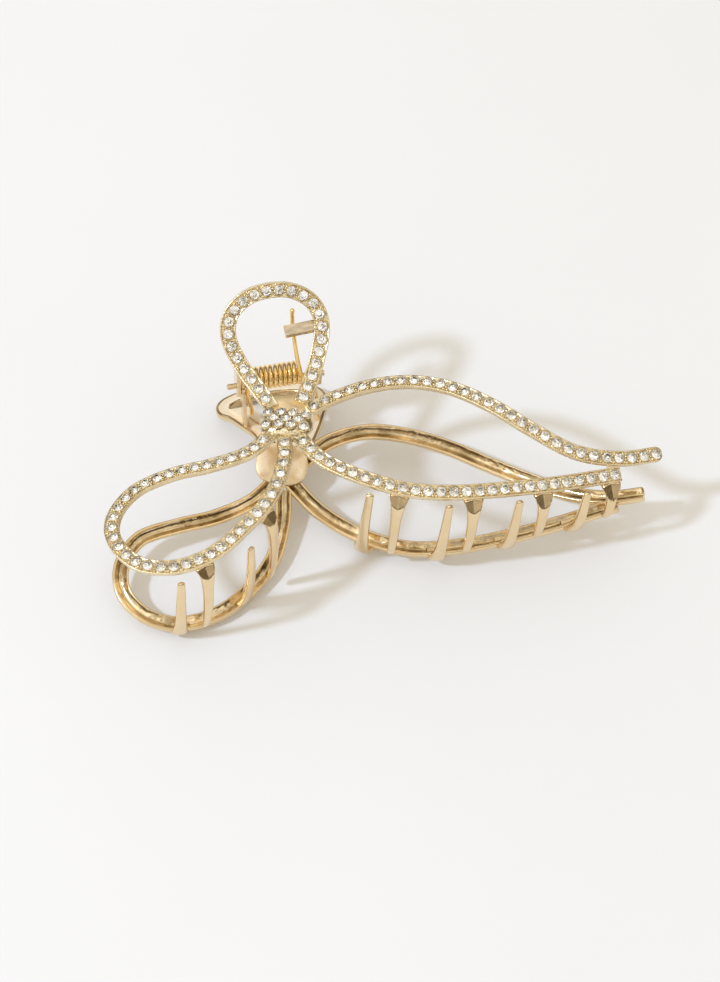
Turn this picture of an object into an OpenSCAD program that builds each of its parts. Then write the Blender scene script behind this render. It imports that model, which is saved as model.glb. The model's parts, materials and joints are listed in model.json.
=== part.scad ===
// Bow-shaped hair claw: two cast jaws on a hinge pin, a torsion spring, and set stones.
// The jaws are drawn about the closure plane (z = 0) with the pin along X at y = 0,
// teeth towards -Y, then the whole clip is laid on its back jaw by lay().

/* [Bars] */
// Width of the stone-set bars of the front wings
front_bar_w = 2.8; // [2.7:0.05:3]
// Width of the stone-set bar of the front thumb loop
handle_bar_w = 2.9; // [2.8:0.1:3.4]
// Width of the plain back bars
back_bar_w = 3; // [2.7:0.1:3.3]
// Thickness of the front bars
front_bar_t = 1.1; // [1:0.05:1.4]
// Thickness of the back bars
back_bar_t = 1.5; // [1.3:0.1:1.7]
// Depth of the stone channel in the front bars
channel_depth = 0.5; // [0.3:0.05:0.6]
// Depth of the casting groove in the inner face of the back bars
groove_depth = 0.4; // [0.2:0.05:0.5]

/* [Stones] */
// Diameter of a round stone
stone_d = 1.8; // [1.6:0.05:1.8]
// Height of a stone from its seat to its table
stone_h = 0.85; // [0.7:0.05:1]
// Stones round the thumb loop
handle_count = 24; // [20:1:24]
// Stones round the left loop
left_count = 38; // [30:1:38]
// Stones along the right upper bar
upper_count = 29; // [24:1:29]
// Stones along the right lower bar
lower_count = 27; // [22:1:27]

/* [Hinge] */
// Diameter of the hinge pin
pin_d = 1.1; // [1:0.05:1.2]
// Left end of the pin
pin_from = -8.6; // [-9.2:0.1:-8]
// Right end of the pin
pin_to = 9.8; // [9.4:0.1:10.4]
// Radius of the round eye of each hinge ear
eye_r = 2.1; // [1.9:0.05:2.3]
// Thickness of each hinge ear
ear_t = 0.7; // [0.6:0.05:0.75]

/* [Spring] */
// Diameter of the spring wire
wire_d = 0.8; // [0.6:0.05:0.8]
// Mean diameter of the coil
coil_d = 3.75; // [3.4:0.05:3.8]
// Whole turns in the coil
turns = 12; // [8:1:12]

/* [Teeth] */
// Half width of a tooth at its flared root
root_half = 1.9; // [1.5:0.1:2]
// Half width of a tooth near its tip
tip_half = 0.6; // [0.5:0.05:0.8]
// How far the blades bow outwards from the middle line of the bars
tooth_reach = 3.1; // [3:0.1:3.6]
// How far a front tooth leans sideways from root to tip, to the left
front_lean = 1.1; // [0:0.1:1.5]
// How far a back tooth leans sideways from root to tip, to the right
back_lean = 1.6; // [0:0.1:1.8]

/* [Lying position] */
// Height of the pin above the surface that the clip lies on
pin_height = 17; // [17:0.1:18]
// Forward lean of the closure plane when the clip lies on its back jaw
rest_lean = 4; // [3:0.1:5]

/* [Hidden] */

gold = "#d8b878";
pale_gold = "#e6cf9c";
spring_gold = "#dba63e";
crystal = "#e8eaee";

// Middle of the footprint, so that the origin lies under the middle of the clip
footprint_mid = [15.69, -17.4];
eps = 0.01;
ring_step = 1.3;
pin_r = pin_d / 2;
eye_play = 0.05;
eye_grip = 0.01;
channel_half = stone_d / 2 + 0.06;
seat_gap = 0.05;
// The front outlines run through the middle of the stones, this far above the bars' inner face
front_sink = front_bar_t - channel_depth + stone_h / 2;
groove_half = 1;
edge = 0.25;
round_edge = 0.5;

// Stations of the ears along the pin: the front jaw's pair straddles the back jaw's pair
front_ear_x = [-6.95, 8.2];
back_ear_x = [-6.1, 7.35];

// Plan outlines as corner points that a smooth curve passes through
front_handle = [
    [-1.8, -11], [-3.6, -6.8], [-6, -2], [-7.5, 2.5], [-6.4, 5.8], [-3, 7.7], [1.1, 8.2],
    [5.2, 7.7], [8.6, 5.8], [9.8, 2.5], [8.4, -2], [6, -6.8], [3.4, -11]
];
back_handle = [
    [-1.8, -11], [-3.1, -5.2], [-5.1, -2], [-7.1, 0.9], [-9, 2.8], [-8.2, 5], [-4.6, 6.6],
    [0.4, 7.2], [5, 6.7], [8.4, 4.6], [9.2, 1.6], [8, -2], [6, -6.5], [3.4, -11]
];
left_loop = [
    [-2.6, -16], [-7.5, -19.6], [-14.5, -20.8], [-22, -21], [-29, -23], [-33.5, -28],
    [-34, -33.5], [-30.5, -39], [-24, -41], [-17, -39.5], [-11, -35.5], [-5.5, -30.5],
    [-2, -24], [-0.6, -17.5]
];
upper_bar = [
    [2.6, -13.4], [9, -10.7], [16.5, -9.3], [24, -10], [31, -13], [37.5, -18], [44, -24],
    [51, -29], [59, -30.8], [67, -30.3]
];
lower_bar = [
    [1.2, -17], [5, -24], [11.5, -29.2], [19.5, -33], [28, -34.5], [38, -34.8], [48, -34.5],
    [58.6, -33.6]
];
back_lower_line = [
    [0.4, -16], [5, -22.6], [11.5, -28.4], [19.5, -32.8], [28, -34.5], [38, -34.8], [48, -34.4],
    [58.6, -33.4]
];
back_upper_line = [
    [2.6, -13.4], [9, -9.8], [16.5, -8.8], [24, -10.6], [31, -14], [37.5, -18.6], [44, -23.4],
    [51, -28.4], [57.5, -31.4], [63.8, -32.6]
];
back_left_line = [
    [-2.6, -16], [-7.5, -19.1], [-14.5, -21.2], [-22, -22.2], [-29, -23.9], [-33.1, -28.6],
    [-33.3, -34], [-29.8, -38.6], [-24, -40.9], [-17, -39.8], [-11, -36.3], [-5.5, -30.8],
    [-2.4, -24], [-1, -17.5]
];

// Teeth stand at even steps along the lower bars, front and back taking turns
front_tooth_x = [18, 30.8, 43.6, 56.4, -7.4, -19.4];
back_tooth_x = [12.3, 24.8, 37.3, 49.8, -12.8, -24.4];
bridge_x = 57.4;

// ---- Height of the jaw surfaces above the closure plane ----
function wing_lift(x, y) =
    3.8 + 0.16 * x - 0.0018 * x * x - 0.516 * y - 0.0079 * y * y + 0.0049 * x * y;
function front_handle_lift(y) = 12 + 0.54 * y + 0.03 * y * y;
function back_handle_lift(y) = 12 + 0.43 * y + 0.01 * y * y;
function lift(skin, x, y) =
    skin == "front_handle" ? front_handle_lift(y) :
    skin == "back_handle" ? back_handle_lift(y) : wing_lift(x, y);
function lift_normal(skin, x, y) =
    let(step = 0.1, here = lift(skin, x, y))
    unit([here - lift(skin, x + step, y), here - lift(skin, x, y + step), step]);

// ---- Small vector and curve helpers ----
function unit(v) = v / norm(v);
function catmull(a, b, c, d, t) =
    0.5 * (2 * b + (c - a) * t + (2 * a - 5 * b + 4 * c - d) * t * t
        + (3 * b - a - 3 * c + d) * t * t * t);
function smooth(pts, steps) =
    let(n = len(pts), ends = concat([2 * pts[0] - pts[1]], pts, [2 * pts[n - 1] - pts[n - 2]]))
    concat(
        [for (i = [0:n - 2], k = [0:steps - 1])
            catmull(ends[i], ends[i + 1], ends[i + 2], ends[i + 3], k / steps)],
        [pts[n - 1]]);
function lengths(pts) =
    [for (i = 0, s = 0; i < len(pts);
        s = s + (i < len(pts) - 1 ? norm(pts[i + 1] - pts[i]) : 0), i = i + 1) s];

// A rail is a curve that can be asked for its point at a length: [x, y and z tables, length]
function rail_of(pts) =
    let(s = lengths(pts))
    concat([for (k = [0:2]) [for (i = [0:len(pts) - 1]) [s[i], pts[i][k]]]], [s[len(pts) - 1]]);
function on_rail(rail, s) = [for (k = [0:2]) lookup(s, rail[k])];
function rail_dir(rail, s) = unit(on_rail(rail, s + 0.4) - on_rail(rail, s - 0.4));
function surface_rail(outline, skin) =
    rail_of([for (p = smooth(outline, 8)) [p.x, p.y, lift(skin, p.x, p.y)]]);

handle_rail = surface_rail(front_handle, "front_handle");
back_handle_rail = surface_rail(back_handle, "back_handle");
left_rail = surface_rail(left_loop, "wing");
upper_rail = surface_rail(upper_bar, "wing");
lower_rail = surface_rail(lower_bar, "wing");
back_left_rail = surface_rail(back_left_line, "wing");
back_upper_rail = surface_rail(back_upper_line, "wing");
back_lower_rail = surface_rail(back_lower_line, "wing");

// ---- Cross sections: across the bar, then out from the jaw's inner face ----
function mirrored(half) =
    concat(half, [for (i = [len(half) - 1:-1:0]) [-half[i][0], half[i][1]]]);
function lowered(section, drop) = [for (q = section) [q[0], q[1] - drop]];
function channel_section(bar_w) = lowered(mirrored([
    [bar_w / 2 - edge, 0], [bar_w / 2, edge], [bar_w / 2, front_bar_t - edge / 2],
    [bar_w / 2 - edge / 2, front_bar_t], [channel_half, front_bar_t],
    [channel_half, front_bar_t - channel_depth]
]), front_sink);
groove_section = mirrored([
    [groove_half, groove_depth], [groove_half, 0], [back_bar_w / 2 - edge, 0],
    [back_bar_w / 2, edge], [back_bar_w / 2, back_bar_t - round_edge],
    [back_bar_w / 2 - round_edge, back_bar_t]
]);

// ---- Skinned solid over a list of rings that all have the same number of points ----
module skin_rings(rings) {
    n = len(rings);
    m = len(rings[0]);
    polyhedron(
        points = [for (ring = rings, p = ring) p],
        faces = concat(
            [[for (j = [0:m - 1]) j]],
            [for (i = [0:n - 2], j = [0:m - 1])
                [i * m + j, (i + 1) * m + (j + 1) % m, i * m + (j + 1) % m]],
            [for (i = [0:n - 2], j = [0:m - 1])
                [i * m + j, (i + 1) * m + j, (i + 1) * m + (j + 1) % m]],
            [[for (j = [m - 1:-1:0]) (n - 1) * m + j]]),
        convexity = 10);
}

// Ring of a section carried along a rail that lies on a jaw surface
function rail_ring(rail, skin, section, s) =
    let(p = on_rail(rail, s), dir = rail_dir(rail, s),
        side = unit(cross(lift_normal(skin, p.x, p.y), dir)), up = cross(dir, side))
    [for (q = section) p + side * q[0] + up * q[1]];

module bar(rail, skin, section, from = 0, to = -1) {
    last = to < 0 ? rail[3] : to;
    n = ceil((last - from) / ring_step);
    skin_rings([for (i = [0:n]) rail_ring(rail, skin, section, from + (last - from) * i / n)]);
}

// Stands its children on a point with their Z axis along a given direction
module stand(p, up) {
    translate(p)
        rotate([0, acos(up.z), atan2(up.y, up.x)])
            children();
}

module stone() {
    girdle = 0.35;
    table_d = stone_d * 0.58;
    cylinder(d = stone_d, h = girdle, $fn = 32);
    translate([0, 0, girdle - eps])
        cylinder(d1 = stone_d, d2 = table_d, h = stone_h - girdle + eps, $fn = 32);
}

module stone_row(rail, skin, count, first, last) {
    seat = seat_gap - stone_h / 2;
    span = rail[3] - first - last;
    color(crystal)
        lay()
            for (i = [0:count - 1]) {
                p = on_rail(rail, first + span * i / (count - 1));
                up = lift_normal(skin, p.x, p.y);
                stand(p + up * seat, up)
                    stone();
            }
}

// ---- Placement on the table and the mirrored back half ----
module lay() {
    translate([-footprint_mid.x, -footprint_mid.y, pin_height])
        rotate([rest_lean, 0, 0])
            children();
}

module back_half() {
    lay()
        mirror([0, 0, 1])
            children();
}

// ---- Pillow of a bow knot: rounded outline, domed outer face ----
knot_turn = -18;
front_knot_mid = [0.2, -14.7];
back_knot_mid = [-0.6, -13];
knot_fullness = 2.6;
knot_flatness = 4;
function signed_pow(v, e) = sign(v) * pow(abs(v), e);
function pillow_rise(half, rise, u, v) =
    let(f = pow(pow(abs(u / half.x), knot_fullness) + pow(abs(v / half.y), knot_fullness),
        1 / knot_fullness))
    rise * (1 - pow(min(f, 1), knot_flatness));
function pillow_ring(half, f, z) =
    [for (a = [0:12:348]) [
        half.x * f * signed_pow(cos(a), 2 / knot_fullness),
        half.y * f * signed_pow(sin(a), 2 / knot_fullness), z]];

module pillow(half, rise, depth) {
    fractions = [1, 0.93, 0.8, 0.6, 0.35, 0.1];
    skin_rings(concat(
        [pillow_ring(half, 0.9, -depth), pillow_ring(half, 1, -depth + 0.4)],
        [for (f = fractions) pillow_ring(half, f, pillow_rise(half, rise, half.x * f, 0))]));
}

module at_knot(mid, drop) {
    slope = 17;
    translate([mid.x, mid.y, wing_lift(mid.x, mid.y) - drop])
        rotate([-slope, 0, 0])
            rotate([0, 0, knot_turn])
                children();
}

front_knot_half = [4.9, 2.9];
front_knot_rise = 1.1;
back_knot_half = [4.9, 4];

module front_knot() {
    color(pale_gold)
        lay()
            at_knot(front_knot_mid, front_sink - 0.6)
                pillow(front_knot_half, front_knot_rise, 0.9);
}

module back_knot() {
    color(gold)
        back_half()
            at_knot(back_knot_mid, 0)
                pillow(back_knot_half, 1.6, 0.7);
}

module knot_stones() {
    row_gap = 1.45;
    stone_gap = 2.25;
    color(crystal)
        lay()
            at_knot(front_knot_mid, front_sink - 0.6)
                for (row = [-1:1], i = [0:(row == 0 ? 2 : 3)]) {
                    u = (i - (row == 0 ? 1 : 1.5)) * stone_gap;
                    v = row * row_gap;
                    z = pillow_rise(front_knot_half, front_knot_rise, u, v);
                    zu = pillow_rise(front_knot_half, front_knot_rise, u + 0.1, v);
                    zv = pillow_rise(front_knot_half, front_knot_rise, u, v + 0.1);
                    up = unit([z - zu, z - zv, 0.1]);
                    stand([u, v, z] + up * seat_gap, up)
                        stone();
                }
}

// ---- Bars ----
module front_handle_loop() {
    color(pale_gold)
        lay()
            bar(handle_rail, "front_handle", channel_section(handle_bar_w),
                0.2, handle_rail[3] - 0.2);
}

module front_left_loop() {
    color(pale_gold)
        lay()
            bar(left_rail, "wing", channel_section(front_bar_w));
}

module front_upper_bar() {
    color(pale_gold)
        lay()
            bar(upper_rail, "wing", channel_section(front_bar_w), 2.3);
}

module front_lower_bar() {
    color(pale_gold)
        lay()
            bar(lower_rail, "wing", channel_section(front_bar_w), 1.2);
}

module back_handle_loop() {
    color(gold)
        back_half()
            bar(back_handle_rail, "back_handle", groove_section);
}

module back_left_loop() {
    color(gold)
        back_half()
            bar(back_left_rail, "wing", groove_section);
}

module back_upper_bar() {
    color(gold)
        back_half()
            bar(back_upper_rail, "wing", groove_section);
}

module back_lower_bar() {
    color(gold)
        back_half()
            bar(back_lower_rail, "wing", groove_section);
}

// ---- Short link between the two right-hand bars near the tail ----
module bridge(from_y, to_y, drop, link) {
    z = (wing_lift(bridge_x, from_y) + wing_lift(bridge_x, to_y)) / 2 - drop;
    slope = atan((wing_lift(bridge_x, from_y) - wing_lift(bridge_x, to_y)) / (from_y - to_y));
    translate([bridge_x, (from_y + to_y) / 2, z + link.z / 2])
        rotate([slope, 0, 0])
            cube(link, center = true);
}

module front_bridge() {
    color(pale_gold)
        lay()
            bridge(-30.5, -33.7, front_sink, [2.2, 1, 0.55]);
}

module back_bridge() {
    color(gold)
        back_half()
            bridge(-31.3, -33.7, 0, [2.2, 1.2, 1]);
}

// ---- Webs that close the neck between the legs of each thumb loop ----
module front_web() {
    color(gold)
        lay()
            translate([0, 0, front_handle_lift(-9) - front_sink - 0.52])
                linear_extrude(height = 0.9)
                    polygon([
                        [-2.2, -8], [1.1, -8.4], [4.4, -8], [4.8, -10.8], [4.9, -12.6],
                        [4, -13.4], [-1, -13.2], [-1.6, -11.4]
                    ]);
}

module back_web() {
    web_t = 0.9;
    web_slope = 18;
    color(gold)
        back_half()
            translate([0, -10, back_handle_lift(-10)])
                rotate([web_slope, 0, 0])
                    linear_extrude(height = web_t)
                        polygon([
                            [-1.6, 0], [-2.3, 3], [-3.2, 5.5], [-5.3, 8.6], [-7.2, 11.7],
                            [-8.2, 13.2], [-3.2, 13.2], [-2.6, 9], [8.3, 9], [8, 8.4], [6, 3.8],
                            [3.2, 0]
                        ]);
}

// Small tab inside the right leg of the front thumb loop that the spring pushes on
module spring_tab() {
    tab = [5.9, 2.1, 1.3];
    color(pale_gold)
        lay()
            translate([5.8, 2.65, 12.7])
                rotate([8, 0, 3])
                    cube(tab, center = true);
}

// ---- Hinge ears: a round eye on the pin and an arm up to the leg of the thumb loop ----
module ear(x, arm, bore_r) {
    translate([x, 0, 0])
        difference() {
            union() {
                rotate([0, 90, 0])
                    cylinder(r = eye_r, h = ear_t, $fn = 48);
                rotate([90, 0, 90])
                    linear_extrude(height = ear_t)
                        polygon(concat([[-eye_r * 0.9, 0.6], [-eye_r * 0.7, -0.9]],
                            [[eye_r * 0.7, -0.9], [eye_r * 0.9, 0.6]], arm));
            }
            translate([-1, 0, 0])
                rotate([0, 90, 0])
                    cylinder(r = bore_r, h = ear_t + 2, $fn = 48);
        }
}

// Top corners of an ear arm at a given place across a loop's leg
function arm_top(lo, hi, skin, drop) =
    let(bite = 0.25)
    [[hi, lift(skin, 0, hi) + bite - drop], [lo, lift(skin, 0, lo) + bite - drop]];

module front_ear_left() {
    color(gold)
        lay()
            ear(front_ear_x[0], arm_top(-2.6, 1, "front_handle", front_sink), pin_r + eye_play);
}

module front_ear_right() {
    color(gold)
        lay()
            ear(front_ear_x[1], arm_top(-3.6, 0, "front_handle", front_sink), pin_r + eye_play);
}

module back_ear_left() {
    color(gold)
        back_half()
            ear(back_ear_x[0], arm_top(-3.2, -0.4, "back_handle", 0), pin_r + eye_grip);
}

module back_ear_right() {
    color(gold)
        back_half()
            ear(back_ear_x[1], arm_top(-4.4, -1.4, "back_handle", 0), pin_r + eye_grip);
}

module hinge_pin() {
    color(pale_gold)
        lay()
            translate([pin_from, 0, 0])
                rotate([0, 90, 0])
                    cylinder(d = pin_d, h = pin_to - pin_from, $fn = 48);
}

// ---- Torsion spring: coil round the pin, one leg up to the tab, one down to the back web ----
// The coil is looser than the pin, and its legs push it back until it hangs on the pin
coil_back = 0.95;
coil_from = -4.9;
coil_to = 5.8;
coil_steps = turns * 14;
wire_sides = 6;
coil_line = [for (i = [0:coil_steps])
    let(a = 180 - 360 * turns * i / coil_steps)
    [coil_from + (coil_to - coil_from) * i / coil_steps, coil_back + coil_d / 2 * cos(a),
        coil_d / 2 * sin(a)]];
lower_leg = [[-4.1, 0.1, -11.4], [-4.2, -0.1, -9], [-4.6, -0.6, -5], [-4.9, -0.9, -2]];
upper_leg = [
    [5.2, -0.3, 2], [4.8, 1.4, 6], [4.65, 3.9, 10.6], [4.7, 4.95, 13.2], [4.8, 5.4, 14.9]
];
spring_line = concat(lower_leg, coil_line, upper_leg);

function wire_ring(line, i) =
    let(n = len(line), dir = unit(line[min(i + 1, n - 1)] - line[max(i - 1, 0)]),
        a = unit(cross(dir, [1, 0, 0.02])), b = cross(dir, a))
    [for (k = [0:wire_sides - 1])
        line[i] + (a * cos(360 * k / wire_sides) + b * sin(360 * k / wire_sides)) * wire_d / 2];

module torsion_spring() {
    color(spring_gold)
        lay()
            skin_rings([for (i = [0:len(spring_line) - 1]) wire_ring(spring_line, i)]);
}

// ---- Teeth ----
// Plan position of the middle line of a lower bar where the tooth stands, and its direction
left_low = [for (p = smooth(left_loop, 8)) if (p.y < p.x * 0.35 - 27 || p.x > -4 && p.y < -24) p];
function low_y(x) =
    x > 0 ? lookup(x, smooth(lower_bar, 8)) : lookup(x, left_low);
function tooth_base(x) = [x, low_y(x), wing_lift(x, low_y(x))];
function tooth_along(x) = unit([1, (low_y(x + 0.5) - low_y(x - 0.5)), 0]);

// Flat blade with broken edges, as shares of its half width and half depth
blade_section = [
    [1, -0.4], [1, 0.4], [0.75, 1], [-0.75, 1], [-1, 0.4], [-1, -0.4], [-0.75, -1], [0.75, -1]
];

// The profile is a list of [outwards, height, half width, half depth, sideways]
function tooth_rings(x, profile, set_in = 0) =
    let(base = tooth_base(x), run = tooth_along(x), out = cross(run, [0, 0, 1]),
        line = smooth(profile, 3), n = len(line))
    [for (i = [0:n - 1])
        let(q = line[i], q0 = line[max(i - 1, 0)], q1 = line[min(i + 1, n - 1)],
            mid = [base.x, base.y, 0] + out * (q[0] - set_in) + [0, 0, q[1]] + run * q[4],
            dir = unit(out * (q1[0] - q0[0]) + [0, 0, q1[1] - q0[1]]),
            thick = cross(dir, run))
        [for (c = blade_section) mid + run * q[2] * c[0] + thick * q[3] * c[1]]];

module front_tooth(x) {
    h = wing_lift(x, low_y(x));
    root = h - front_sink;
    lean = -front_lean;
    color(pale_gold)
        lay()
            skin_rings(tooth_rings(x, [
                [0.7, root - 0.15, root_half, 0.3, 0],
                [1.9, root - 0.4, root_half * 0.8, 0.75, 0],
                [tooth_reach - 0.3, h * 0.5, 1.05, 0.7, lean * 0.2],
                [tooth_reach, -h * 0.1, 0.9, 0.62, lean * 0.5],
                [tooth_reach - 0.3, -h * 0.6, 0.75, 0.5, lean * 0.8],
                [tooth_reach - 0.7, -h + 2, tip_half, 0.35, lean],
                [tooth_reach - 0.75, -h + 1.6, 0.25, 0.15, lean]]));
}

module back_tooth(x, short = 0, lean = back_lean, foot = false) {
    h = wing_lift(x, low_y(x));
    foot_d = 2.6;
    color(gold)
        back_half()
            skin_rings(tooth_rings(x, [
                [-0.4, h + back_bar_t - 0.4, root_half, 0.35, 0],
                [1.2, h + back_bar_t - 0.6, root_half, 0.6, 0],
                [2.2, h - 0.4, root_half * 0.75, 0.7, 0],
                [tooth_reach - 0.1, h * 0.5, 1.05, 0.7, lean * 0.3],
                [tooth_reach + 0.1, -h * 0.1 + short * 0.3, 0.9, 0.6, lean * 0.6],
                [tooth_reach - 0.2, -h * 0.6 + short * 0.7, 0.75, 0.5, lean * 0.85],
                [tooth_reach - 0.4, -h + 0.9 + short, tip_half, 0.35, lean],
                [tooth_reach - 0.45, -h + 0.5 + short, 0.25, 0.15, lean]], x < 0 ? 0.5 : 0));
    if (foot) {
        base = tooth_base(x);
        root = h + 0.6;
        color(gold)
            translate([base.x - footprint_mid.x,
                base.y * cos(rest_lean) + root * sin(rest_lean) - footprint_mid.y, 0])
                cylinder(d = foot_d, h = pin_height - root * cos(rest_lean)
                    + base.y * sin(rest_lean), $fn = 32);
    }
}

front_handle_loop();
front_knot();
front_left_loop();
front_upper_bar();
front_lower_bar();
front_bridge();
front_web();
spring_tab();
front_ear_left();
front_ear_right();
front_tooth(front_tooth_x[0]);  // front_tooth_1
front_tooth(front_tooth_x[1]);  // front_tooth_2
front_tooth(front_tooth_x[2]);  // front_tooth_3
front_tooth(front_tooth_x[3]);  // front_tooth_4
front_tooth(front_tooth_x[4]);  // front_tooth_5
front_tooth(front_tooth_x[5]);  // front_tooth_6
stone_row(handle_rail, "front_handle", handle_count, 2.2, 1.4);  // handle_stones
knot_stones();
stone_row(left_rail, "wing", left_count, 2.6, 1.8);  // left_stones
stone_row(upper_rail, "wing", upper_count, 3.5, 1.1);  // upper_stones
stone_row(lower_rail, "wing", lower_count, 3, 1.2);  // lower_stones
back_handle_loop();
back_knot();
back_left_loop();
back_upper_bar();
back_lower_bar();
back_bridge();
back_web();
back_ear_left();
back_ear_right();
back_tooth(back_tooth_x[0]);  // back_tooth_1
back_tooth(back_tooth_x[1], foot = true);  // back_tooth_2
back_tooth(back_tooth_x[2]);  // back_tooth_3
back_tooth(back_tooth_x[3]);  // back_tooth_4
back_tooth(back_tooth_x[4], short = 4);  // back_tooth_5
back_tooth(back_tooth_x[5], short = 2, lean = 0.9, foot = true);  // back_tooth_6
hinge_pin();
torsion_spring();
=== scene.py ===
"""Looks for the rhinestone hair claw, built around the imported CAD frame."""

import json
import math
import random

import bpy
import numpy as np
from mathutils import Matrix, Vector, noise


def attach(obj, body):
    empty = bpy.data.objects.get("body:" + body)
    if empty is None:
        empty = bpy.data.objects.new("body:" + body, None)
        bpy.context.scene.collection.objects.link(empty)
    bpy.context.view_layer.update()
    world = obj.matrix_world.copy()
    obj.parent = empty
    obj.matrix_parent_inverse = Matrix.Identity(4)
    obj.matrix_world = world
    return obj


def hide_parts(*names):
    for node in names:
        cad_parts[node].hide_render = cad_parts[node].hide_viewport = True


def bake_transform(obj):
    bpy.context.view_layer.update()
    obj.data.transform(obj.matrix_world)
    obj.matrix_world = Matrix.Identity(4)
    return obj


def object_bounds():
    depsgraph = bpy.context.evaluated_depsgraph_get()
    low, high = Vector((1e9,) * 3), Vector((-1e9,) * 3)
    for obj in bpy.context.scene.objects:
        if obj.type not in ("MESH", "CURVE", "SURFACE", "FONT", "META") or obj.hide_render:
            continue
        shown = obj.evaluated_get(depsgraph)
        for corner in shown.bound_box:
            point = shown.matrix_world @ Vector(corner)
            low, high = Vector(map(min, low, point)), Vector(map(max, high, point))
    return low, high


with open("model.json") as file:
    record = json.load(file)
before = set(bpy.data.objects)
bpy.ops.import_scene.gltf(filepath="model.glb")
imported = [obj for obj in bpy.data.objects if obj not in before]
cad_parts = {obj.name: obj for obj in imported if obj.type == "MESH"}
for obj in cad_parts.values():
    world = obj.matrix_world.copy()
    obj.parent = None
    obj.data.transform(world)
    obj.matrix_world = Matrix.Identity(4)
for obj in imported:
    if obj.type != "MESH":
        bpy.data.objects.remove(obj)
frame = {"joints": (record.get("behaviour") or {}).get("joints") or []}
cad_low, cad_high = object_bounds()
rng = random.Random(7)

# ---------------------------------------------------------------- frame
# The part is drawn in millimetres about the closure plane, with the pin along X at y = z = 0,
# and then laid on its back jaw, as in the CAD.
MM = 0.001
REST_LEAN = math.radians(4)
PIN = Vector(frame["joints"][0]["pos_m"])
LAY = Matrix.Translation(PIN) @ Matrix.Rotation(REST_LEAN, 4, "X") @ Matrix.Scale(MM, 4)
BACK_LAY = LAY @ Matrix.Diagonal((1, 1, -1, 1))

# ---------------------------------------------------------------- design values, as in the CAD
FRONT_HALF = 1.4
HANDLE_HALF = 1.45
FRONT_T = 1.1
BACK_HALF = 1.5
BACK_T = 1.5
STONE_R = 0.9
STONE_H = 0.85
CHANNEL = 0.5
FRONT_SINK = FRONT_T - CHANNEL + STONE_H / 2
FRONT_TOP = FRONT_T - FRONT_SINK
STONE_TOP = 0.05 + STONE_H / 2

FRONT_HANDLE = [
    (-1.8, -11), (-3.6, -6.8), (-6, -2), (-7.5, 2.5), (-6.4, 5.8), (-3, 7.7), (1.1, 8.2),
    (5.2, 7.7), (8.6, 5.8), (9.8, 2.5), (8.4, -2), (6, -6.8), (3.4, -11),
]
BACK_HANDLE = [
    (-1.8, -11), (-3.1, -5.2), (-5.1, -2), (-7.1, 0.9), (-9, 2.8), (-8.2, 5), (-4.6, 6.6),
    (0.4, 7.2), (5, 6.7), (8.4, 4.6), (9.2, 1.6), (8, -2), (6, -6.5), (3.4, -11),
]
LEFT_LOOP = [
    (-2.6, -16), (-7.5, -19.6), (-14.5, -20.8), (-22, -21), (-29, -23), (-33.5, -28),
    (-34, -33.5), (-30.5, -39), (-24, -41), (-17, -39.5), (-11, -35.5), (-5.5, -30.5),
    (-2, -24), (-0.6, -17.5),
]
UPPER_BAR = [
    (2.6, -13.4), (9, -10.7), (16.5, -9.3), (24, -10), (31, -13), (37.5, -18), (44, -24),
    (51, -29), (59, -30.8), (67, -30.3),
]
LOWER_BAR = [
    (1.2, -17), (5, -24), (11.5, -29.2), (19.5, -33), (28, -34.5), (38, -34.8), (48, -34.5),
    (58.6, -33.6),
]
BACK_LOWER = [
    (0.4, -16), (5, -22.6), (11.5, -28.4), (19.5, -32.8), (28, -34.5), (38, -34.8),
    (48, -34.4), (58.6, -33.4),
]
BACK_UPPER = [
    (2.6, -13.4), (9, -9.8), (16.5, -8.8), (24, -10.6), (31, -14), (37.5, -18.6),
    (44, -23.4), (51, -28.4), (57.5, -31.4), (63.8, -32.6),
]
BACK_LEFT = [
    (-2.6, -16), (-7.5, -19.1), (-14.5, -21.2), (-22, -22.2), (-29, -23.9), (-33.1, -28.6),
    (-33.3, -34), (-29.8, -38.6), (-24, -40.9), (-17, -39.8), (-11, -36.3), (-5.5, -30.8),
    (-2.4, -24), (-1, -17.5),
]


def wing_lift(x, y):
    return 3.8 + 0.16 * x - 0.0018 * x * x - 0.516 * y - 0.0079 * y * y + 0.0049 * x * y


def front_handle_lift(x, y):
    return 12 + 0.54 * y + 0.03 * y * y


def back_handle_lift(x, y):
    return 12 + 0.43 * y + 0.01 * y * y


# ---------------------------------------------------------------- curves
def unit(v):
    v = np.asarray(v, float)
    return v / np.linalg.norm(v, axis=-1, keepdims=True)


def catmull(points, steps):
    """Catmull-Rom curve through points of any dimension."""
    p = np.array(points, float)
    p = np.vstack([2 * p[0] - p[1], p, 2 * p[-1] - p[-2]])
    out = []
    for a, b, c, d in zip(p[:-3], p[1:-2], p[2:-1], p[3:]):
        for k in range(steps):
            t = k / steps
            out.append(
                0.5 * (2 * b + (c - a) * t + (2 * a - 5 * b + 4 * c - d) * t * t
                       + (3 * b - a - 3 * c + d) * t ** 3)
            )
    return np.array(out + [p[-2]])


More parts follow.
